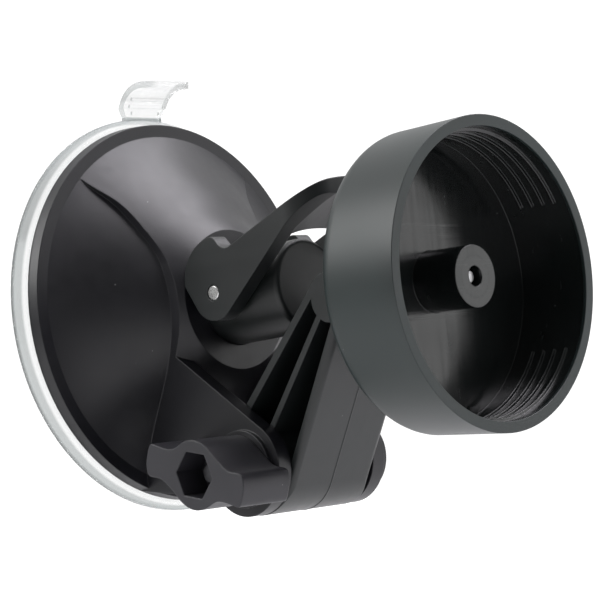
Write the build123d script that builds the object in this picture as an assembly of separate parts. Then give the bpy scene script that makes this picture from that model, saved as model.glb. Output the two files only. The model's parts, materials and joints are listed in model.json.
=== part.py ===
from build123d import *
import os
from math import acos, atan2, cos, hypot, radians, sin, sqrt

os.makedirs("parts", exist_ok=True)

# Windscreen suction mount with a cam lever, a clamped tilting arm and a round pod cup.
# Millimetres. +Z up. The windscreen is the plane y = 0 and the cup faces -Y.

# ---- fits ----
RUN = 0.05            # radial clearance of a running fit
SLIDE = 0.08          # radial clearance of the plunger in its guide
BOND = 0.02           # gap left round a moulded-in piece
SIDE = 0.2            # side clearance of the arm between its lugs
NUT_FIT = 0.1         # clearance on each flat of a hexagon

# ---- suction disc ----
DISC_R = 40.0         # contact radius on the glass
DISC_T = 2.9          # thickness under the housing's rim
DISC_SKIN = 2.0       # thickness of the flexing ring
DISC_LIP = 0.9        # thickness of the free edge
DISC_HUB_R = 13.0     # thick centre that holds the plunger's foot
DISC_HUB_T = 5.0
TAB_NECK_W = 9.8      # pull tab
TAB_HEAD_W = 12.0
TAB_DROP = 0.5        # it starts to bend this far inside the disc's edge
TAB_BEND = 6.2        # radius of the bend
TAB_LEAN = 97.0       # degrees that it bends towards the driver
TAB_REACH = 3.6       # length beyond the bend
TAB_T = 1.3
TAB_CORNER = 3.2
TAB_RIB = 0.5
TAB_RIB_W = 0.7
TAB_RIBS = ((17.0, 7.5), (32.0, 9.4), (50.0, 9.8))  # degrees round the bend and width

# ---- dome housing ----
RIM_GAP = 0.05        # housing's rim above the disc
RIM_H = 2.5           # height of the rim's side wall
RIM_R = 38.0          # rim's front edge
RIM_DRAFT = 0.2       # the rim's back edge is this much larger
RIM_FLAT = 2.5        # width of the flat front ring
DOME_WALL = 2.2
HUB_Y = 21.0          # height of the flat round face that the cams press on
HUB_R = 13.9
GUIDE_DEEP = 9.2      # the plunger's guide reaches back to this height
GUIDE_WALL = 2.9
BLOCK_W = 30.0        # width across the raised middle and the gussets' outer faces
CREASE_Z = 8.0        # the raised middle's sides spread above this height

# ---- plunger and lever ----
PLUNGER_R = 9.05
PLUNGER_TIP = 41.0    # height of its end face
PLUNGER_FOOT_R = 10.6
PLUNGER_FOOT_T = 2.2
PLUNGER_FOOT_Y = 2.2
TIP_ROUND = 1.0
PIN_R = 1.5
PIN_Y = 28.4          # height of the lever's pin
PIN_Z = 0.6           # and above the plunger's axis
EAR_IN = 10.0         # inner face of each ear, from the middle
EAR_T = 3.6
EAR_R = 5.4           # round end of the ear
CAM_GAP = 0.04        # cam to hub face
CAM_LIFT = 2.25       # mm of plunger travel for each radian of lever
CAM_ANGLE = 80.0      # degrees over which the cam works
LEVER_LOW = 39.0      # slope of the arms' lower edges, degrees
LEVER_TOP = 20.1      # slope of their top edges
LEVER_TIP = 26.9      # reach of the tip in front of the pin
WEB_START = 19.3      # where the grip begins, along the lower edge
CROWN_TOP = 2.0       # rise of the grip's outer face in the middle
CROWN_LOW = 1.7       # rise of its inner face
GRIP_LOW = 30.0       # slope of the grip's inner face
LEVER_CORNER = 7.0

# ---- clamp ----
CLAMP_Y = 32.2
CLAMP_Z = -33.6
LUG_R = 9.1
LUG_T = 3.2
GUSSET_LOW = 35.2     # where the gussets' lower edges meet the rim, below the middle
GUSSET_JOIN = 24.6    # and where they meet the lugs, in front of the glass
BOLT_R = 2.5          # M5
HEAD_AF = 8.0
HEX_TURN = 13.0      # how the nut's pocket is turned, degrees
HEAD_T = 3.5
NUT_AF = 8.0
NUT_T = 4.0
COLLAR_R = 7.4        # raised collars on the lugs' outer faces
COLLAR_H = 0.9
SOCKET_H = 2.6        # right-hand collar that keeps the bolt's head from turning
KNOB_T = 12.4
KNOB_HUB_R = 6.5
KNOB_FLOOR = 1.8
KNOB_GAP = 0.1
BOLT_PAST_NUT = 2.4

# ---- arm ----
ARM_W = 23.0
ARM_R = 9.2           # round lower end
HEAD_R = 5.0          # round upper end
FRONT_R = 3.6         # the front face leans in to this distance at the upper end
FRONT_ROUND = 1.5     # rounding along the front face's sides
SEAM = 0.08           # half width and height of the mould line on the front
HEAD_Y = 56.0
HEAD_Z = -4.4
ARM_BACK = 1.45
ARM_RIB = 1.2
ARM_RIB_BACK = 0.5    # the rib lies this far behind the middle
ARM_FRONT = 1.5
ARM_WEB = 2.2
CHANNEL_END_R = 4.6   # the channels stop this far from the upper end's middle
SEAT_R = 11.3         # flange that carries the cup
SEAT_T = 2.4

# ---- cup ----
CUP_Y = 86.6          # rim's centre
CUP_Z = -4.7
CUP_DROOP = 2.45      # degrees that the cup faces down
CUP_R = 28.8
CUP_WALL = 2.1
CUP_DEPTH = 15.0      # inside
CUP_FLOOR = 3.1
CUP_BACK_R = 28.2     # outside radius where the rounded back starts
CUP_ROUND = 3.0
BOSS_R = 5.75
BOSS_DROP = 5.0       # boss face behind the rim
BOSS_HOLE_R = 1.9
RIDGE_H = 0.6
RIDGE_W = 0.9
RIDGE_DEPTHS = (3.1, 5.7, 8.2, 10.8)
RIDGE_TOP = (29.0, 151.0)
RIDGE_LOW = (213.0, 327.0)
SCREW_R = 1.75
SCREW_HEAD_R = 3.4
SCREW_HEAD_T = 2.4
SCREW_TIP_DROP = 6.2  # screw's tip behind the rim
WASHER_R = 4.0
WASHER_T = 0.8
POCKET_R = 4.3

# ---- values that follow ----
LUG_IN = ARM_W / 2 + SIDE
LUG_OUT = BLOCK_W / 2
RIM_BACK = DISC_T + RIM_GAP
RIM_FRONT = RIM_BACK + RIM_H
RING_R = RIM_R - RIM_FLAT
TAB_RISE = DISC_R - TAB_DROP
EAR_OUT = EAR_IN + EAR_T
PIN = (-PIN_Y, PIN_Z)
CLAMP = (-CLAMP_Y, CLAMP_Z)
HEAD = (-HEAD_Y, HEAD_Z)
KNOB_BACK = LUG_OUT + COLLAR_H + KNOB_GAP
KNOB_FACE = KNOB_BACK + KNOB_T
NUT_BACK = KNOB_BACK + KNOB_FLOOR
GUIDE_R = PLUNGER_R + SLIDE
CUP_AXIS = Vector(0, -cos(radians(CUP_DROOP)), -sin(radians(CUP_DROOP)))
CUP_PLANE = Plane(origin=(0, -CUP_Y, CUP_Z), x_dir=(1, 0, 0), z_dir=CUP_AXIS)


def side_face(points):
    """A polygon of (y, z) points on the plane x = 0."""
    return Plane.YZ * Polygon(*points, align=None)


def across(face, x0, x1):
    """A face on x = 0 made solid from x0 to x1."""
    return Pos(x0, 0, 0) * extrude(face, amount=x1 - x0, dir=(1, 0, 0))


def both_sides(solid):
    return solid + mirror(solid, about=Plane.YZ)


def x_rod(centre, radius, x0, x1):
    """A round bar along X about the (y, z) point."""
    turn = Rot(0, 90, 0) * Cylinder(radius, x1 - x0)
    return Pos((x0 + x1) / 2, centre[0], centre[1]) * turn


def x_hex(centre, flats, x0, x1, turn=0.0):
    """A hexagonal bar along X."""
    sketch = Plane.YZ * (Pos(*centre) * (Rot(0, 0, turn) * RegularPolygon(flats / 2, 6, major_radius=False)))
    return across(sketch, x0, x1)


def turned(points):
    """A solid of revolution about Y from (radius, height) points; height runs towards -Y."""
    face = Plane.XY * Polygon(*[(r, -h) for r, h in points], align=None)
    return revolve(face, axis=Axis.Y)


def spun(edges):
    return revolve(make_face(edges), axis=Axis.Y)


def cup_turned(points):
    """A solid of revolution about the cup's axis from (radius, depth behind the rim) points."""
    face = Plane.XZ * Polygon(*[(r, -d) for r, d in points], align=None)
    return CUP_PLANE.location * revolve(face, axis=Axis.Z)


def tangent_link(a, ra, b, rb):
    """The (y, z) outline of a belt round two circles, as polygon points."""
    length = hypot(b[0] - a[0], b[1] - a[1])
    line = atan2(b[1] - a[1], b[0] - a[0])
    tilt = acos((ra - rb) / length)
    corners = []
    for turn in (tilt, -tilt):
        way = (cos(line + turn), sin(line + turn))
        corners.append((a[0] + ra * way[0], a[1] + ra * way[1]))
        corners.append((b[0] + rb * way[0], b[1] + rb * way[1]))
    return [corners[0], corners[1], corners[3], corners[2]]


# ---------------------------------------------------------------- suction disc
def make_tab():
    """A strip that rises from the disc's edge and bends over towards the driver."""
    middle = (-0.2 - TAB_T / 2 - TAB_BEND, TAB_RISE)
    lean = radians(TAB_LEAN)

    def along(radius, reach):
        return (middle[0] + radius * cos(lean) - reach * sin(lean),
                middle[1] + radius * sin(lean) + reach * cos(lean))

    thin = TAB_BEND - TAB_T / 2
    thick = TAB_BEND + TAB_T / 2
    foot = DISC_R - 2
    outline = [
        Line((middle[0] + thin, foot), (middle[0] + thick, foot)),
        Line((middle[0] + thick, foot), (middle[0] + thick, TAB_RISE)),
        CenterArc(middle, thick, 0, TAB_LEAN),
        Line(along(thick, 0), along(thick, TAB_REACH)),
        Line(along(thick, TAB_REACH), along(thin, TAB_REACH)),
        Line(along(thin, TAB_REACH), along(thin, 0)),
        CenterArc(middle, thin, 0, TAB_LEAN),
        Line((middle[0] + thin, TAB_RISE), (middle[0] + thin, foot))]
    strip = across(Plane.YZ * make_face(outline), -TAB_HEAD_W / 2, TAB_HEAD_W / 2)
    corners = [edge for edge in strip.edges().filter_by(GeomType.LINE)
               if abs(edge.length - TAB_T) < 0.01 and edge.center().Y < middle[0]]
    strip = fillet(corners, TAB_CORNER)
    waist = Polyline(
        (TAB_NECK_W / 2, foot - 1), (TAB_NECK_W / 2, TAB_RISE + 0.8), (TAB_HEAD_W / 2, TAB_RISE + 2.6),
        (TAB_HEAD_W, TAB_RISE + 2.6), (TAB_HEAD_W, foot - 1), close=True)
    notch = extrude(Plane.XZ * make_face(waist), amount=3)
    strip -= notch + mirror(notch, about=Plane.YZ)
    for turn, width in TAB_RIBS:
        way = (cos(radians(turn)), sin(radians(turn)))
        centre = (middle[0] + thin * way[0], middle[1] + thin * way[1])
        strip += Pos(0, *centre) * Rot(turn, 0, 0) * Box(width, 2 * TAB_RIB, TAB_RIB_W)
    return strip


def make_disc():
    rim_in = RIM_R - 4.2
    body = turned([
        (0, 0), (DISC_R, 0), (DISC_R, DISC_LIP), (RIM_R + 1.2, DISC_T - 0.6),
        (RIM_R + 0.7, DISC_T), (rim_in, DISC_T), (rim_in - 1.5, DISC_SKIN),
        (DISC_HUB_R + 2.0, DISC_SKIN), (DISC_HUB_R, DISC_HUB_T), (0, DISC_HUB_T)])
    foot = turned([
        (0, PLUNGER_FOOT_Y - BOND), (PLUNGER_FOOT_R + BOND, PLUNGER_FOOT_Y - BOND),
        (PLUNGER_FOOT_R + BOND, PLUNGER_FOOT_Y + PLUNGER_FOOT_T + BOND),
        (PLUNGER_R + BOND, PLUNGER_FOOT_Y + PLUNGER_FOOT_T + BOND),
        (PLUNGER_R + BOND, DISC_HUB_T + 1), (0, DISC_HUB_T + 1)])
    return body - foot + make_tab()


# ---------------------------------------------------------------- dome housing
def dome_skin(inner_points):
    """The housing's outer body: a spline from the hub down to the flat ring, then the rim."""
    curve = Spline(*[(r, -h) for r, h in inner_points])
    first = (inner_points[0][0], -inner_points[0][1])
    rest = Polyline(
        (RING_R, -RIM_FRONT), (RIM_R, -RIM_FRONT), (RIM_R + RIM_DRAFT, -RIM_BACK), (0, -RIM_BACK),
        (0, first[1]), first)
    return spun([curve, rest])


def raised_middle():
    """Plan of the raised middle, whose sides spread towards the top of the rim."""
    half = BLOCK_W / 2
    end = (half * 1.52, CREASE_Z + 18.5)
    right = Spline((half, CREASE_Z), (half + 1.5, CREASE_Z + 8.0), (half + 3.6, CREASE_Z + 13.6), end,
                   tangents=[(0, 1), (0.72, 1)])
    left = Spline((-half, CREASE_Z), (-half - 1.5, CREASE_Z + 8.0), (-half - 3.6, CREASE_Z + 13.6),
                  (-end[0], end[1]), tangents=[(0, 1), (-0.72, 1)])
    top = Polyline(end, (end[0] + 5, end[1] + 6), (0, RIM_R + 12), (-end[0] - 5, end[1] + 6), (-end[0], end[1]))
    bottom = Polyline((half, CREASE_Z), (half, -RIM_R - 5), (-half, -RIM_R - 5), (-half, CREASE_Z))
    plan = make_face([right, top, left, bottom])
    face = Plane(origin=(0, 0, 0), x_dir=(1, 0, 0), z_dir=(0, -1, 0)) * plan
    return extrude(face, amount=HUB_Y + 10)


def gusset():
    """One side plate with its round lug, on the +X side."""
    apex = (-17.2, -10.0)
    reach = hypot(apex[0] - CLAMP[0], apex[1] - CLAMP[1])
    aim = atan2(apex[1] - CLAMP[1], apex[0] - CLAMP[0]) + acos(LUG_R / reach)
    top = (CLAMP[0] + LUG_R * cos(aim), CLAMP[1] + LUG_R * sin(aim))
    low = (-RIM_BACK - 0.3, -GUSSET_LOW)
    reach = CLAMP_Y - GUSSET_JOIN
    join = (-GUSSET_JOIN, CLAMP_Z - sqrt(LUG_R ** 2 - reach ** 2))
    plate = across(side_face([apex, top, CLAMP, join, low, (-RIM_BACK - 0.3, apex[1])]), LUG_IN, LUG_OUT)
    return plate + x_rod(CLAMP, LUG_R, LUG_IN, LUG_OUT)


def make_dome():
    low_skin = dome_skin([
        (10.0, 19.6), (15.0, 17.8), (18.1, 15.8), (21.6, 13.3), (24.2, 11.4), (28.5, 8.6), (RING_R, RIM_FRONT)])
    high_skin = dome_skin([
        (HUB_R, HUB_Y), (16.0, 19.4), (18.6, 17.2), (24.0, 13.4), (29.5, 9.4), (RING_R, RIM_FRONT)])
    body = low_skin + (high_skin & raised_middle())
    body += gusset() + mirror(gusset(), about=Plane.YZ)
    collar = x_rod(CLAMP, COLLAR_R, -LUG_OUT - COLLAR_H, -LUG_OUT)
    socket = x_rod(CLAMP, COLLAR_R, LUG_OUT, LUG_OUT + SOCKET_H)
    body += collar + socket
    guide_out = GUIDE_R + GUIDE_WALL
    rim_in = RIM_R - DOME_WALL
    hollow = turned([
        (guide_out, 0), (rim_in, 0), (rim_in, RIM_BACK + 0.9), (28.3, 6.2), (24.2, 8.9), (21.6, 10.8),
        (18.0, 13.3), (15.0, 15.2), (guide_out, 16.6)])
    body -= hollow
    body -= turned([(0, 0), (guide_out + 0.1, 0), (guide_out + 0.1, GUIDE_DEEP), (0, GUIDE_DEEP)])
    body -= turned([(0, 0), (GUIDE_R, 0), (GUIDE_R, HUB_Y + 5), (0, HUB_Y + 5)])
    body -= x_rod(CLAMP, BOLT_R + RUN, -LUG_OUT - 5, LUG_OUT + 5)
    body -= x_hex(CLAMP, HEAD_AF + 2 * NUT_FIT, LUG_OUT + SOCKET_H - HEAD_T + 0.9, LUG_OUT + SOCKET_H + 5)
    return body


# ---------------------------------------------------------------- plunger and pin
def make_plunger():
    stem = turned([(0, PLUNGER_FOOT_Y), (PLUNGER_R, PLUNGER_FOOT_Y), (PLUNGER_R, PLUNGER_TIP), (0, PLUNGER_TIP)])
    tip = stem.edges().filter_by(GeomType.CIRCLE).group_by(Axis.Y)[0]
    stem = fillet(tip, TIP_ROUND)
    foot = turned([
        (0, PLUNGER_FOOT_Y), (PLUNGER_FOOT_R, PLUNGER_FOOT_Y),
        (PLUNGER_FOOT_R, PLUNGER_FOOT_Y + PLUNGER_FOOT_T), (0, PLUNGER_FOOT_Y + PLUNGER_FOOT_T)])
    return stem + foot - x_rod(PIN, PIN_R + RUN, -PLUNGER_R - 1, PLUNGER_R + 1)


def make_pin():
    rod = x_rod(PIN, PIN_R, -EAR_OUT, EAR_OUT)
    return chamfer(rod.edges().filter_by(GeomType.CIRCLE), 0.25)


# ---------------------------------------------------------------- cam lever
def cam_point(turn):
    """A point of the cam, whose reach towards the hub grows evenly as the lever closes."""
    reach = PIN_Y - HUB_Y - CAM_GAP + CAM_LIFT * turn
    return (reach * cos(turn) - CAM_LIFT * sin(turn), reach * sin(turn) + CAM_LIFT * cos(turn))


def lever_side():
    """Side outline of an ear and its arm, about the pin."""
    low = radians(LEVER_LOW)
    top = radians(LEVER_TOP)
    under = (-EAR_R * sin(low), -EAR_R * cos(low))
    notch = (-5.6, 8.1)
    tip_top = (-LEVER_TIP, notch[1] + (LEVER_TIP + notch[0]) * sin(top) / cos(top))
    run = (LEVER_TIP - 1.3 + under[0]) / cos(low)
    tip_low = (under[0] - run * cos(low), under[1] + run * sin(low))
    start = cam_point(0.0)
    reach = hypot(*start)
    back_way = atan2(start[1], start[0]) - acos(EAR_R / reach)
    back = (EAR_R * cos(back_way), EAR_R * sin(back_way))
    steps = 6
    cam = [cam_point(radians(CAM_ANGLE) * i / steps) for i in range(steps + 1)]
    mid = (EAR_R * cos(radians(-80)), EAR_R * sin(radians(-80)))
    edges = [
        ThreePointArc(under, mid, back),
        Line(back, start),
        Spline(*cam),
        Spline(cam[-1], (-3.1, 8.65), notch, tangents=[(-1, 0.1), (-cos(top), sin(top))]),
        Polyline(notch, tip_top, tip_low, under)]
    return Plane.YZ * make_face(edges)


def make_lever():
    low = radians(LEVER_LOW)
    top = radians(LEVER_TOP)
    arm = across(lever_side(), EAR_IN, EAR_OUT)
    arms = both_sides(arm)
    # the grip: a block between the two slopes, bounded by two crowned faces
    u = (-cos(low), sin(low))
    n = (sin(low), cos(low))
    start = WEB_START
    a = (u[0] * start - n[0] * EAR_R, u[1] * start - n[1] * EAR_R)
    block = side_face([
        a, (a[0] + n[0] * 16, a[1] + n[1] * 16), (-LEVER_TIP, 30), (-LEVER_TIP, 2.0)])
    web = across(block, -EAR_OUT, EAR_OUT)
    r_top = (EAR_OUT ** 2 + CROWN_TOP ** 2) / (2 * CROWN_TOP)
    r_low = (EAR_IN ** 2 + CROWN_LOW ** 2) / (2 * CROWN_LOW)
    t_dir = (-cos(top), sin(top))
    t_nor = (sin(top), cos(top))
    edge = (-5.6, 8.1)
    shift = CROWN_TOP - r_top
    c_top = (edge[0] + t_nor[0] * shift + t_dir[0] * 10, edge[1] + t_nor[1] * shift + t_dir[1] * 10)
    outer = Pos(0, *c_top) * (Rot(90 - LEVER_TOP, 0, 0) * Cylinder(r_top, 90))
    base = -EAR_R + CROWN_LOW - r_low
    c_low = (n[0] * base + u[0] * start, n[1] * base + u[1] * start)
    inner = Pos(0, *c_low) * (Rot(90 - GRIP_LOW, 0, 0) * Cylinder(r_low, 90))
    web = (web & outer) - inner
    under_cut = side_face([
        (u[0] * 5 - n[0] * EAR_R, u[1] * 5 - n[1] * EAR_R),
        (u[0] * 60 - n[0] * EAR_R, u[1] * 60 - n[1] * EAR_R),
        (u[0] * 60 - n[0] * 40, u[1] * 60 - n[1] * 40), (u[0] * 5 - n[0] * 40, u[1] * 5 - n[1] * 40)])
    web -= across(under_cut, -EAR_OUT - 1, EAR_OUT + 1)
    lever = arms + web
    plan = Box(2 * EAR_OUT, LEVER_TIP + 30, 80, align=(Align.CENTER, Align.MIN, Align.CENTER))
    plan = fillet(plan.edges().filter_by(Axis.Z).group_by(Axis.Y)[0], LEVER_CORNER)
    lever = lever & (Pos(0, -LEVER_TIP, 0) * plan)
    lever -= x_rod((0, 0), PIN_R + RUN, -EAR_OUT - 1, EAR_OUT + 1)
    return Pos(0, *PIN) * lever


# ---------------------------------------------------------------- clamp
def make_bolt():
    tip = -(NUT_BACK + NUT_T + BOLT_PAST_NUT)
    head_in = LUG_OUT + SOCKET_H - HEAD_T + 0.9
    shank = x_rod(CLAMP, BOLT_R, tip, head_in + 0.5)
    shank = chamfer(shank.edges().filter_by(GeomType.CIRCLE).group_by(Axis.X)[0], 0.8)
    return shank + x_hex(CLAMP, HEAD_AF, head_in, head_in + HEAD_T)


def make_nut():
    nut = x_hex(CLAMP, NUT_AF, -NUT_BACK - NUT_T, -NUT_BACK - 0.02, HEX_TURN)
    return nut - x_rod(CLAMP, BOLT_R + RUN, -NUT_BACK - NUT_T - 1, -NUT_BACK + 1)


def knob_side():
    """One wing's outline about the clamp axis, then its point-symmetric twin."""
    wing = [
        (5.0, 5.4), (7.2, 5.75), (9.4, 6.6), (10.4, 6.9), (11.6, 5.4), (12.4, 2.4), (12.0, 1.1),
        (10.6, 0.55), (8.9, 0.05), (7.3, -1.2), (5.7, -2.9)]
    bottom = [(4.4, -4.4), (2.6, -5.8), (0.6, -KNOB_HUB_R), (-2.0, -6.35)]
    half = wing + bottom
    other = [(-y, -z) for y, z in half]
    return half + other


def make_knob():
    pts = [(CLAMP[0] + y, CLAMP[1] + z) for y, z in knob_side()]
    face = Plane.YZ * make_face(Spline(*pts, periodic=True))
    body = across(face, -KNOB_FACE, -KNOB_BACK)
    body -= x_hex(CLAMP, NUT_AF + 2 * NUT_FIT, -KNOB_FACE - 1, -NUT_BACK, HEX_TURN)
    return body - x_rod(CLAMP, BOLT_R + 0.2, -KNOB_FACE - 1, -KNOB_BACK + 1)


# ---------------------------------------------------------------- arm
def arm_outline(inset_front, inset_back):
    """The arm's (y, z) outline: its front face leans in more than its back."""
    front = tangent_link(CLAMP, ARM_R - inset_front, HEAD, FRONT_R - inset_front)[:2]
    back = tangent_link(CLAMP, ARM_R - inset_back, HEAD, HEAD_R - inset_back)[2:]
    return front + back


def make_arm():
    half = ARM_W / 2
    outline = arm_outline(0, 0)
    body = across(side_face(outline), -half, half)
    body += x_rod(CLAMP, ARM_R, -half, half)
    # the front face's side edges are rounded, and the rounding runs out over the round end
    f0, f1 = outline[:2]
    span = hypot(f1[0] - f0[0], f1[1] - f0[1])
    way = ((f1[0] - f0[0]) / span, (f1[1] - f0[1]) / span)
    nor = (-way[1], way[0])
    ends = [(f0[0] - way[0] * 30, f0[1] - way[1] * 30), (f1[0] + way[0] * 20, f1[1] + way[1] * 20)]
    slab = across(side_face([
        ends[0], ends[1], (ends[1][0] - nor[0] * 40, ends[1][1] - nor[1] * 40),
        (ends[0][0] - nor[0] * 40, ends[0][1] - nor[1] * 40)]), -half, half)
    middle = ((ends[0][0] + ends[1][0]) / 2, (ends[0][1] + ends[1][1]) / 2)
    sides = [edge for edge in slab.edges()
             if hypot(edge.center().Y - middle[0], edge.center().Z - middle[1]) < 0.1]
    body = body & fillet(sides, FRONT_ROUND)
    body += x_rod(HEAD, HEAD_R, -half, half)
    # neck and seat for the cup
    seat_back = CUP_DEPTH + CUP_FLOOR + SEAT_T
    neck_end = -CUP_Y + (CUP_DEPTH + CUP_FLOOR)
    neck_box = Pos(0, neck_end - 6, HEAD_Z) * Box(
        ARM_W, -HEAD_Y - neck_end + 6, 2 * HEAD_R, align=(Align.CENTER, Align.MIN, Align.CENTER))
    neck_box += Pos(0, -HEAD_Y - 4, HEAD_Z - HEAD_R) * Box(
        ARM_W, 5.5, HEAD_R, align=(Align.CENTER, Align.MIN, Align.MIN))
    beyond = CUP_PLANE.location * (Pos(0, 0, -(CUP_DEPTH + CUP_FLOOR) + 15) * Cylinder(60, 30))
    neck_box -= beyond
    body += neck_box
    body += cup_turned([(0, seat_back), (SEAT_R, seat_back), (SEAT_R, CUP_DEPTH + CUP_FLOOR),
                        (0, CUP_DEPTH + CUP_FLOOR)])
    # channels from each side, two of them, divided by a rib
    core = across(side_face(arm_outline(ARM_FRONT, ARM_BACK)), ARM_WEB / 2, half + 1)
    length = hypot(HEAD[0] - CLAMP[0], HEAD[1] - CLAMP[1])
    nor = (-(HEAD[1] - CLAMP[1]) / length, (HEAD[0] - CLAMP[0]) / length)
    near = ARM_RIB / 2 - ARM_RIB_BACK
    far = -ARM_RIB / 2 - ARM_RIB_BACK
    core -= across(side_face([
        (CLAMP[0] + nor[0] * near, CLAMP[1] + nor[1] * near), (HEAD[0] + nor[0] * near, HEAD[1] + nor[1] * near),
        (HEAD[0] + nor[0] * far, HEAD[1] + nor[1] * far), (CLAMP[0] + nor[0] * far, CLAMP[1] + nor[1] * far)]),
        0, half + 2)
    core -= x_rod(CLAMP, ARM_R - 1.3, 0, half + 2)
    core -= x_rod(HEAD, CHANNEL_END_R, 0, half + 2)
    body -= core + mirror(core, about=Plane.YZ)
    # mould line down the front
    body += across(side_face(arm_outline(-SEAM, 0)), -SEAM, SEAM) + x_rod(CLAMP, ARM_R + SEAM, -SEAM, SEAM)
    # screw passage and the pocket for its head
    head_at = seat_back + 5.6
    body -= cup_turned([(0, 0), (SCREW_R + 0.25, 0), (SCREW_R + 0.25, head_at + 1), (0, head_at + 1)])
    body -= cup_turned([(0, head_at), (POCKET_R, head_at), (POCKET_R, head_at + 30), (0, head_at + 30)])
    return body - x_rod(CLAMP, BOLT_R + RUN, -half - 1, half + 1)


# ---------------------------------------------------------------- cup
def make_cup():
    depth = CUP_DEPTH + CUP_FLOOR
    bore = CUP_R - CUP_WALL
    arc = ThreePointArc(
        (CUP_BACK_R, -depth + CUP_ROUND),
        (CUP_BACK_R - CUP_ROUND * (1 - sqrt(0.5)), -depth + CUP_ROUND * (1 - sqrt(0.5))),
        (CUP_BACK_R - CUP_ROUND, -depth))
    outline = Polyline((CUP_BACK_R - CUP_ROUND, -depth), (0, -depth), (0, -CUP_DEPTH), (bore, -CUP_DEPTH),
                       (bore, 0), (CUP_R, 0), (CUP_BACK_R, -depth + CUP_ROUND))
    shell = revolve(Plane.XZ * make_face([arc, outline]), axis=Axis.Z)
    boss = Pos(0, 0, -CUP_DEPTH - 0.5) * Cylinder(
        BOSS_R, CUP_DEPTH - BOSS_DROP + 0.5, align=(Align.CENTER, Align.CENTER, Align.MIN))
    ridges = Part()
    for depth_at in RIDGE_DEPTHS:
        for lo, hi in (RIDGE_TOP, RIDGE_LOW):
            section = Plane.XZ * Polygon(
                (bore + 0.3, -depth_at - RIDGE_W / 2), (bore - RIDGE_H, -depth_at - 0.2),
                (bore - RIDGE_H, -depth_at + 0.2), (bore + 0.3, -depth_at + RIDGE_W / 2), align=None)
            ring = revolve(section, axis=Axis.Z, revolution_arc=hi - lo)
            ridges += Rot(0, 0, lo) * ring
    cup = shell + boss + ridges
    cup -= Pos(0, 0, -depth - 1) * Cylinder(
        BOSS_HOLE_R, depth + 1, align=(Align.CENTER, Align.CENTER, Align.MIN))
    return CUP_PLANE.location * cup


def make_screw():
    head_at = CUP_DEPTH + CUP_FLOOR + SEAT_T + 5.6
    under = head_at + WASHER_T
    screw = cup_turned([
        (0, SCREW_TIP_DROP), (SCREW_R - 0.7, SCREW_TIP_DROP), (SCREW_R, SCREW_TIP_DROP + 1.4),
        (SCREW_R, under), (SCREW_HEAD_R, under), (SCREW_HEAD_R, under + SCREW_HEAD_T * 0.6),
        (SCREW_HEAD_R * 0.62, under + SCREW_HEAD_T), (0, under + SCREW_HEAD_T)])
    slot = CUP_PLANE.location * (Pos(0, 0, -under - SCREW_HEAD_T) * Box(4.2, 0.9, 2.4))
    cross = CUP_PLANE.location * (Pos(0, 0, -under - SCREW_HEAD_T) * Box(0.9, 4.2, 2.4))
    return screw - slot - cross


def make_washer():
    head_at = CUP_DEPTH + CUP_FLOOR + SEAT_T + 5.6
    return cup_turned([
        (SCREW_R + 0.2, head_at + 0.01), (WASHER_R, head_at + 0.01), (WASHER_R, head_at + WASHER_T - 0.01),
        (SCREW_R + 0.2, head_at + WASHER_T - 0.01)])


PIECES = {
    "suction_disc": make_disc,
    "dome_housing": make_dome,
    "plunger": make_plunger,
    "lever_pin": make_pin,
    "cam_lever": make_lever,
    "clamp_bolt": make_bolt,
    "clamp_nut": make_nut,
    "clamp_knob": make_knob,
    "arm": make_arm,
    "cup": make_cup,
    "cup_screw": make_screw,
    "cup_washer": make_washer,
}

for name, make in PIECES.items():
    export_step(make(), f"parts/{name}.step")
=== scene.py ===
import json
import math

import bpy
from mathutils import Matrix, Vector


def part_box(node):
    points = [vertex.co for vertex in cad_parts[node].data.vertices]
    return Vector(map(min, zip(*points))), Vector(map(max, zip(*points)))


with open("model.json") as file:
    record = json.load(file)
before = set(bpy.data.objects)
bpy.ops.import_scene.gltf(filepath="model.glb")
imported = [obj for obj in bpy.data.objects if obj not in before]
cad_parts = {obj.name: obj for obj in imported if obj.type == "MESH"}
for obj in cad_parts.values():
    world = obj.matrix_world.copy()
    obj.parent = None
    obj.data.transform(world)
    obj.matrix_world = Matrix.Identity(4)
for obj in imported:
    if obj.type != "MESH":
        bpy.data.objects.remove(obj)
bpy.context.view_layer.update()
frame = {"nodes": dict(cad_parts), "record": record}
NODES = frame["nodes"]
JOINTS = {joint["name"]: joint for joint in frame["record"]["behaviour"]["joints"]}

# ---------------------------------------------------------------- places, in metres
LIP_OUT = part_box("suction_disc")[1].x                   # the disc's edge
LIP_IN = LIP_OUT - 0.0010
BLEND = 0.0003                                          # width of a soft change between two finishes
CUP_CENTRE = Vector(JOINTS["cup_swivel"]["pos_m"])      # middle of the cup's rim
CUP_BACK = -Vector(JOINTS["cup_swivel"]["axis"])        # from the rim towards the cup's floor
CUP_INSIDE_R = 0.0272
CUP_RIM_DEPTH = 0.0006                                  # the inside finish starts below the rim
CUP_FLOOR_DEPTH = 0.0158                                # and ends within the floor's thickness
BOSS_FACE_DEPTH = 0.0053
BOSS_RING_R = 0.0039                                    # turned circle on the boss's face
BOSS_RING_HALF_W = 0.00009

# ---------------------------------------------------------------- scales of the surface detail
CLOUD_SCALE = 45            # noise cells for each metre: broad patches of gloss
GRAIN_SCALE = 4200          # spark-eroded grain
GRAIN_HEIGHT = 0.00004
FINE_HEIGHT = 0.00002
NARROW = (0.35, 0.65)       # part of a noise's range that is stretched to the full change
WIDE = (0.3, 0.7)
DUST_COLOUR = (0.30, 0.30, 0.30)
DUST_CELL = 0.0026
DUST_R = 0.00012
DUST_SHARE = 0.10           # share of the cells that hold a speck
PLASTIC_IOR = 1.5
BEVEL_SAMPLES = 6


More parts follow.
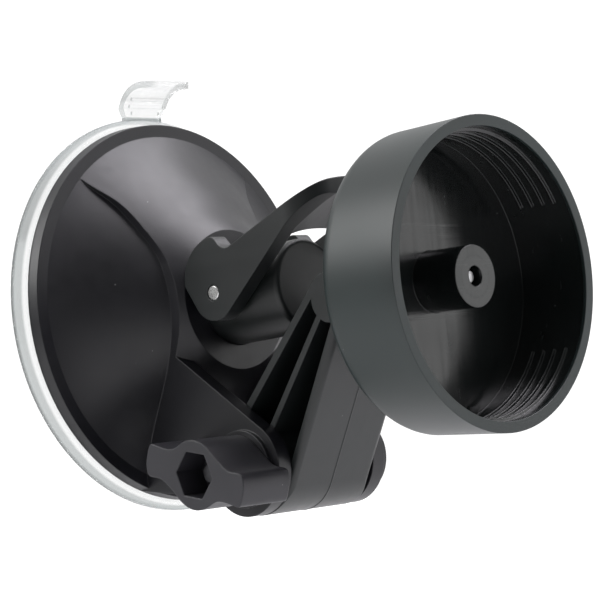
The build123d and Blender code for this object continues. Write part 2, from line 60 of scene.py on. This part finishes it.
# ---------------------------------------------------------------- shader helpers
def new_material(name):
    mat = bpy.data.materials.new(name)
    mat.use_nodes = True
    tree = mat.node_tree
    tree.nodes.clear()
    out = tree.nodes.new("ShaderNodeOutputMaterial")
    bsdf = tree.nodes.new("ShaderNodeBsdfPrincipled")
    tree.links.new(bsdf.outputs["BSDF"], out.inputs["Surface"])
    return mat, tree, bsdf


def feed(tree, socket, value):
    """Links an output socket, or sets a constant."""
    if isinstance(value, bpy.types.NodeSocket):
        tree.links.new(value, socket)
    else:
        socket.default_value = value


def place(tree, stretch=(1, 1, 1)):
    """Object coordinates, stretched along each axis."""
    coord = tree.nodes.new("ShaderNodeTexCoord")
    mapping = tree.nodes.new("ShaderNodeMapping")
    mapping.inputs["Scale"].default_value = stretch
    tree.links.new(coord.outputs["Object"], mapping.inputs["Vector"])
    return mapping.outputs["Vector"]


def noise(tree, scale, detail=3.0, stretch=(1, 1, 1)):
    tex = tree.nodes.new("ShaderNodeTexNoise")
    tex.inputs["Scale"].default_value = scale
    tex.inputs["Detail"].default_value = detail
    tree.links.new(place(tree, stretch), tex.inputs["Vector"])
    return tex.outputs["Fac"]


def math_node(tree, operation, a, b=0.0):
    n = tree.nodes.new("ShaderNodeMath")
    n.operation = operation
    feed(tree, n.inputs[0], a)
    feed(tree, n.inputs[1], b)
    return n.outputs["Value"]


def span(tree, source, lo, hi, out_lo, out_hi):
    """Maps lo..hi of the source to out_lo..out_hi, clamped."""
    n = tree.nodes.new("ShaderNodeMapRange")
    n.inputs["From Min"].default_value = lo
    n.inputs["From Max"].default_value = hi
    n.inputs["To Min"].default_value = out_lo
    n.inputs["To Max"].default_value = out_hi
    tree.links.new(source, n.inputs["Value"])
    return n.outputs["Result"]


def mix_colour(tree, fac, a, b):
    n = tree.nodes.new("ShaderNodeMix")
    n.data_type = "RGBA"
    feed(tree, n.inputs["Factor"], fac)
    sockets = [s for s in n.inputs if s.type == "RGBA"]
    for socket, value in zip(sockets, (a, b)):
        feed(tree, socket, value if isinstance(value, bpy.types.NodeSocket) else (*value, 1))
    return [s for s in n.outputs if s.type == "RGBA"][0]


def specks(tree, cell, size, share):
    """1 inside sparse round dust specks, 0 elsewhere."""
    tex = tree.nodes.new("ShaderNodeTexVoronoi")
    tex.inputs["Scale"].default_value = 1 / cell
    tree.links.new(place(tree), tex.inputs["Vector"])
    near = math_node(tree, "LESS_THAN", tex.outputs["Distance"], size / cell)
    split = tree.nodes.new("ShaderNodeSeparateColor")
    tree.links.new(tex.outputs["Color"], split.inputs["Color"])
    chosen = math_node(tree, "LESS_THAN", split.outputs["Red"], share)
    return math_node(tree, "MULTIPLY", near, chosen)


def dusty(tree, base, amount):
    """Puts pale specks of dust over a base colour."""
    dots = specks(tree, DUST_CELL, DUST_R, DUST_SHARE)
    return mix_colour(tree, math_node(tree, "MULTIPLY", dots, amount), base, DUST_COLOUR)


def shades(tree, noise_value, tint, dark, light):
    """The tint, darker and lighter in patches."""
    patches = span(tree, noise_value, *NARROW, 0, 1)
    return mix_colour(tree, patches, [c * dark for c in tint], [c * light for c in tint])


def length_of(tree, a, b):
    """Square root of a * a + b * b."""
    squares = [math_node(tree, "MULTIPLY", v, v) for v in (a, b)]
    return math_node(tree, "SQRT", math_node(tree, "ADD", *squares))


def surface_normal(tree, bsdf, height, distance, strength=1.0, edge=BLEND):
    """Bump over softly rounded edges."""
    bevel = tree.nodes.new("ShaderNodeBevel")
    bevel.samples = BEVEL_SAMPLES
    bevel.inputs["Radius"].default_value = edge
    bump = tree.nodes.new("ShaderNodeBump")
    bump.inputs["Strength"].default_value = strength
    bump.inputs["Distance"].default_value = distance
    tree.links.new(height, bump.inputs["Height"])
    tree.links.new(bevel.outputs["Normal"], bump.inputs["Normal"])
    tree.links.new(bump.outputs["Normal"], bsdf.inputs["Normal"])


# ---------------------------------------------------------------- materials
def plastic(name, tint, rough, grain=0.25, dust=0.35, edge=BLEND):
    """Moulded black plastic: cloudy satin gloss, fine spark-eroded grain and a little dust."""
    mat, tree, bsdf = new_material(name)
    cloud = noise(tree, CLOUD_SCALE, 4)
    fine = noise(tree, GRAIN_SCALE, 2)
    drag = noise(tree, 500, 2, (1, 0.06, 1))
    base = shades(tree, cloud, tint, 0.8, 1.25)
    feed(tree, bsdf.inputs["Base Color"], dusty(tree, base, dust))
    gloss = math_node(tree, "ADD", span(tree, cloud, *WIDE, -0.035, 0.035),
                      span(tree, drag, *WIDE, -0.02, 0.02))
    feed(tree, bsdf.inputs["Roughness"], math_node(tree, "ADD", gloss, rough))
    bsdf.inputs["IOR"].default_value = PLASTIC_IOR
    surface_normal(tree, bsdf, fine, GRAIN_HEIGHT, grain, edge)
    return mat


def cup_places(tree):
    """Depth behind the cup's rim and distance from its axis, at each point of the surface."""
    coord = tree.nodes.new("ShaderNodeTexCoord")
    split = tree.nodes.new("ShaderNodeSeparateXYZ")
    tree.links.new(coord.outputs["Object"], split.inputs["Vector"])
    dy = math_node(tree, "SUBTRACT", split.outputs["Y"], CUP_CENTRE.y)
    dz = math_node(tree, "SUBTRACT", split.outputs["Z"], CUP_CENTRE.z)
    depth = math_node(tree, "ADD", math_node(tree, "MULTIPLY", dy, CUP_BACK.y),
                      math_node(tree, "MULTIPLY", dz, CUP_BACK.z))
    up = math_node(tree, "SUBTRACT", math_node(tree, "MULTIPLY", dz, CUP_BACK.y),
                   math_node(tree, "MULTIPLY", dy, CUP_BACK.z))
    return depth, length_of(tree, split.outputs["X"], up)


def cup_plastic():
    """The cup: satin outside, and a glossy inside with mould drag lines and a turned circle on the boss."""
    mat, tree, bsdf = new_material("cup_plastic")
    depth, radius = cup_places(tree)
    inside = math_node(tree, "MULTIPLY", math_node(tree, "LESS_THAN", radius, CUP_INSIDE_R),
                       math_node(tree, "GREATER_THAN", depth, CUP_RIM_DEPTH))
    inside = math_node(tree, "MULTIPLY", inside, math_node(tree, "LESS_THAN", depth, CUP_FLOOR_DEPTH))
    cloud = noise(tree, CLOUD_SCALE, 4)
    fine = noise(tree, GRAIN_SCALE, 2)
    drag = noise(tree, 260, 4, (0.05, 1, 1))
    streak = noise(tree, 900, 3, (1, 1, 0.02))
    base = shades(tree, cloud, (0.0095, 0.0160, 0.0158), 0.85, 1.2)
    base = mix_colour(tree, inside, base, (0.0062, 0.0078, 0.0076))
    feed(tree, bsdf.inputs["Base Color"], dusty(tree, base, 0.3))
    matt = math_node(tree, "ADD", span(tree, cloud, *WIDE, -0.03, 0.03), 0.42)
    shiny = math_node(tree, "ADD", span(tree, streak, *WIDE, -0.05, 0.07), 0.17)
    shiny = math_node(tree, "ADD", shiny, span(tree, drag, 0.4, 0.7, 0, 0.06))
    pick = tree.nodes.new("ShaderNodeMix")
    feed(tree, pick.inputs[0], inside)
    feed(tree, pick.inputs[2], matt)
    feed(tree, pick.inputs[3], shiny)
    feed(tree, bsdf.inputs["Roughness"], pick.outputs[0])
    bsdf.inputs["IOR"].default_value = PLASTIC_IOR
    # height: grain all over, drag lines on the inside, a fine circle on the boss's face
    ring = math_node(tree, "ABSOLUTE", math_node(tree, "SUBTRACT", radius, BOSS_RING_R))
    ring = math_node(tree, "LESS_THAN", ring, BOSS_RING_HALF_W)
    ring = math_node(tree, "MULTIPLY", ring, math_node(tree, "LESS_THAN", depth, BOSS_FACE_DEPTH))
    lines = math_node(tree, "MULTIPLY", span(tree, drag, 0.30, 0.42, -1.4, 0), inside)
    height = math_node(tree, "ADD", math_node(tree, "MULTIPLY", fine, 0.25), lines)
    height = math_node(tree, "SUBTRACT", height, math_node(tree, "MULTIPLY", ring, 2.0))
    surface_normal(tree, bsdf, height, GRAIN_HEIGHT, 0.5)
    return mat


def metal(name, tint, rough):
    """Plated steel with fine scratches and dull patches."""
    mat, tree, bsdf = new_material(name)
    cloud = noise(tree, 600, 3)
    fine = noise(tree, 5000, 3)
    feed(tree, bsdf.inputs["Base Color"], shades(tree, cloud, tint, 0.75, 1.0))
    feed(tree, bsdf.inputs["Roughness"], span(tree, fine, *WIDE, rough - 0.08, rough + 0.1))
    bsdf.inputs["Metallic"].default_value = 1.0
    surface_normal(tree, bsdf, fine, FINE_HEIGHT, 0.4, 0.0001)
    return mat


def clear_soft():
    """Soft clear vinyl, with faint flow marks, and a painted grey shade along the disc's lip and the tab's
    edge-on sides, where the clear edge looks dark.
    """
    mat, tree, bsdf = new_material("clear_soft")
    flow = noise(tree, 120, 4)
    fine = noise(tree, 1500, 2)
    coord = tree.nodes.new("ShaderNodeTexCoord")
    at = tree.nodes.new("ShaderNodeSeparateXYZ")
    tree.links.new(coord.outputs["Object"], at.inputs["Vector"])
    facing = tree.nodes.new("ShaderNodeSeparateXYZ")
    tree.links.new(coord.outputs["Normal"], facing.inputs["Vector"])
    x, z = at.outputs["X"], at.outputs["Z"]
    # mask for the painted shade: the disc's outer lip, and the tab's side faces seen edge-on
    on_tab = math_node(tree, "GREATER_THAN", z, LIP_OUT + BLEND)
    lip_painted_shade = math_node(tree, "MULTIPLY", span(tree, length_of(tree, x, z), LIP_IN, LIP_IN + BLEND, 0, 1),
                    math_node(tree, "SUBTRACT", 1.0, on_tab))
    side_painted_shade = math_node(tree, "MULTIPLY", on_tab,
                      span(tree, math_node(tree, "ABSOLUTE", facing.outputs["X"]), 0.3, 0.8, 0, 0.8))
    # edge: where the painted grey shade goes
    edge = math_node(tree, "MAXIMUM", lip_painted_shade, side_painted_shade)
    body = mix_colour(tree, span(tree, flow, *WIDE, 0, 1), (0.90, 0.93, 0.93), (0.97, 0.985, 0.98))
    # painted shade: grey colour and a denser alpha over the lip and the tab's sides
    feed(tree, bsdf.inputs["Base Color"], mix_colour(tree, edge, body, (0.38, 0.42, 0.42)))
    feed(tree, bsdf.inputs["Roughness"], span(tree, flow, *WIDE, 0.06, 0.16))
    feed(tree, bsdf.inputs["Alpha"], span(tree, edge, 0, 1, 0.32, 0.80))
    bsdf.inputs["Transmission Weight"].default_value = 0.88
    bsdf.inputs["IOR"].default_value = 1.35
    surface_normal(tree, bsdf, fine, FINE_HEIGHT, 0.3, 0.0002)
    return mat


BLACK = plastic("black_plastic", (0.0064, 0.0084, 0.0085), 0.42)
DOME = plastic("dome_plastic", (0.0055, 0.0055, 0.0078), 0.40, dust=0.6)
ARM = plastic("arm_plastic", (0.0105, 0.0130, 0.0130), 0.40)
KNOB = plastic("knob_plastic", (0.0185, 0.0180, 0.0225), 0.46, edge=0.0005)
CUP = cup_plastic()
PIN = metal("pin_steel", (0.80, 0.80, 0.79), 0.30)
DARK = metal("dark_zinc", (0.16, 0.16, 0.17), 0.38)
STEEL = metal("plated_steel", (0.55, 0.55, 0.56), 0.30)
CLEAR = clear_soft()

FINISH = {
    "suction_disc": CLEAR,
    "dome_housing": DOME,
    "plunger": BLACK,
    "cam_lever": BLACK,
    "arm": ARM,
    "clamp_knob": KNOB,
    "cup": CUP,
    "lever_pin": PIN,
    "clamp_bolt": DARK,
    "clamp_nut": DARK,
    "cup_screw": STEEL,
    "cup_washer": STEEL,
}
for node, material in FINISH.items():
    mesh = NODES[node].data
    mesh.materials.clear()
    mesh.materials.append(material)

# ---------------------------------------------------------------- stage and lights
FLOOR_DROP = 0.002       # below the lowest place that the cup can reach
FLOOR_HALF = 6.0
SEEN_STRENGTH = 1.15         # of the backdrop, as the camera sees it
FLOOR_GLOW = (0.05, 0.85)    # emission in reflections, and as the camera sees it
AIM = Vector((0, -0.045, 0))
WHITE = (1, 1, 1)


def lowest_reach():
    """Height of the farthest corner of the arm and cup, swung straight down about the clamp bolt."""
    low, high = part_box("clamp_bolt")
    axis_y, axis_z = (low.y + high.y) / 2, (low.z + high.z) / 2
    reach = 0.0
    for node in ("arm", "cup"):
        low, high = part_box(node)
        corners = [(y, z) for y in (low.y, high.y) for z in (low.z, high.z)]
        reach = max([reach] + [math.hypot(y - axis_y, z - axis_z) for y, z in corners])
    return axis_z - reach


def make_floor():
    z = lowest_reach() - FLOOR_DROP
    s = FLOOR_HALF
    mesh = bpy.data.meshes.new("floor")
    mesh.from_pydata([(-s, -s, z), (s, -s, z), (s, s, z), (-s, s, z)], [], [(0, 1, 2, 3)])
    ob = bpy.data.objects.new("floor", mesh)
    bpy.context.scene.collection.objects.link(ob)
    mat, tree, bsdf = new_material("floor_white")
    feed(tree, bsdf.inputs["Base Color"],
         mix_colour(tree, noise(tree, 4, 2), (0.74, 0.74, 0.74), (0.76, 0.76, 0.76)))
    bsdf.inputs["Roughness"].default_value = 0.9
    bsdf.inputs["Specular IOR Level"].default_value = 0.1
    bsdf.inputs["Emission Color"].default_value = (*WHITE, 1)
    path = tree.nodes.new("ShaderNodeLightPath")
    feed(tree, bsdf.inputs["Emission Strength"], span(tree, path.outputs["Is Camera Ray"], 0, 1, *FLOOR_GLOW))
    mesh.materials.append(mat)


def softbox(name, direction, distance, size, power, tint=WHITE):
    data = bpy.data.lights.new(name, "AREA")
    data.shape = "RECTANGLE"
    data.size, data.size_y = size
    data.energy = power
    data.color = tint
    ob = bpy.data.objects.new(name, data)
    bpy.context.scene.collection.objects.link(ob)
    way = Vector(direction).normalized()
    ob.location = AIM + way * distance
    ob.rotation_mode = "QUATERNION"
    ob.rotation_quaternion = (-way).to_track_quat("-Z", "Y")
    ob.visible_camera = False


def make_world():
    world = bpy.data.worlds.new("studio")
    bpy.context.scene.world = world
    world.use_nodes = True
    tree = world.node_tree
    tree.nodes.clear()
    out = tree.nodes.new("ShaderNodeOutputWorld")
    coord = tree.nodes.new("ShaderNodeTexCoord")
    split = tree.nodes.new("ShaderNodeSeparateXYZ")
    tree.links.new(coord.outputs["Generated"], split.inputs["Vector"])
    # soft studio: white at the back and above, dimmer towards the front and the horizon
    back = span(tree, split.outputs["Y"], -0.7, 0.8, 0.10, 0.75)
    side = span(tree, split.outputs["X"], -0.9, 0.9, -0.06, 0.22)
    lift = span(tree, split.outputs["Z"], 0.0, 0.45, 0.25, 1.15)
    lift = math_node(tree, "MAXIMUM", lift, span(tree, split.outputs["X"], 0.1, 0.7, 0.25, 1.0))
    light = math_node(tree, "MULTIPLY", math_node(tree, "ADD", back, side), lift)
    light = math_node(tree, "ADD", light, span(tree, split.outputs["Z"], 0.1, 0.7, 0, 0.14))
    lit = tree.nodes.new("ShaderNodeBackground")
    feed(tree, lit.inputs["Strength"], light)
    seen = tree.nodes.new("ShaderNodeBackground")
    seen.inputs["Strength"].default_value = SEEN_STRENGTH
    for background in (lit, seen):
        background.inputs["Color"].default_value = (*WHITE, 1)
    path = tree.nodes.new("ShaderNodeLightPath")
    mix = tree.nodes.new("ShaderNodeMixShader")
    tree.links.new(path.outputs["Is Camera Ray"], mix.inputs["Fac"])
    tree.links.new(lit.outputs["Background"], mix.inputs[1])
    tree.links.new(seen.outputs["Background"], mix.inputs[2])
    tree.links.new(mix.outputs["Shader"], out.inputs["Surface"])


make_floor()
make_world()
softbox("top", (0.42, -0.38, 0.82), 0.75, (0.55, 0.55), 6.8, (0.97, 0.94, 1.0))
softbox("back_left", (-0.65, 0.45, 0.55), 0.9, (0.5, 0.5), 5)
softbox("front_right", (0.75, -0.68, 0.12), 0.9, (0.35, 0.5), 0.75)
bpy.context.scene.view_settings.view_transform = "Standard"

# ---------------------------------------------------------------- camera
EYE = Vector((-0.34169, -0.35271, -0.03592))
UP = Vector((0.034336, -0.141923, 0.989282))
BACK = Vector((-0.733810, -0.675587, -0.071451))        # from the object to the camera
LENS = 144.78                                           # mm, on the sensor below
SENSOR = 36


def make_camera():
    data = bpy.data.cameras.new("camera")
    data.sensor_width = SENSOR
    data.lens = LENS
    data.clip_start = 0.01
    cam = bpy.data.objects.new("camera", data)
    bpy.context.scene.collection.objects.link(cam)
    axes = Matrix((UP.cross(BACK), UP, BACK)).transposed()
    cam.matrix_world = Matrix.Translation(EYE) @ axes.to_4x4()
    bpy.context.scene.camera = cam


make_camera()
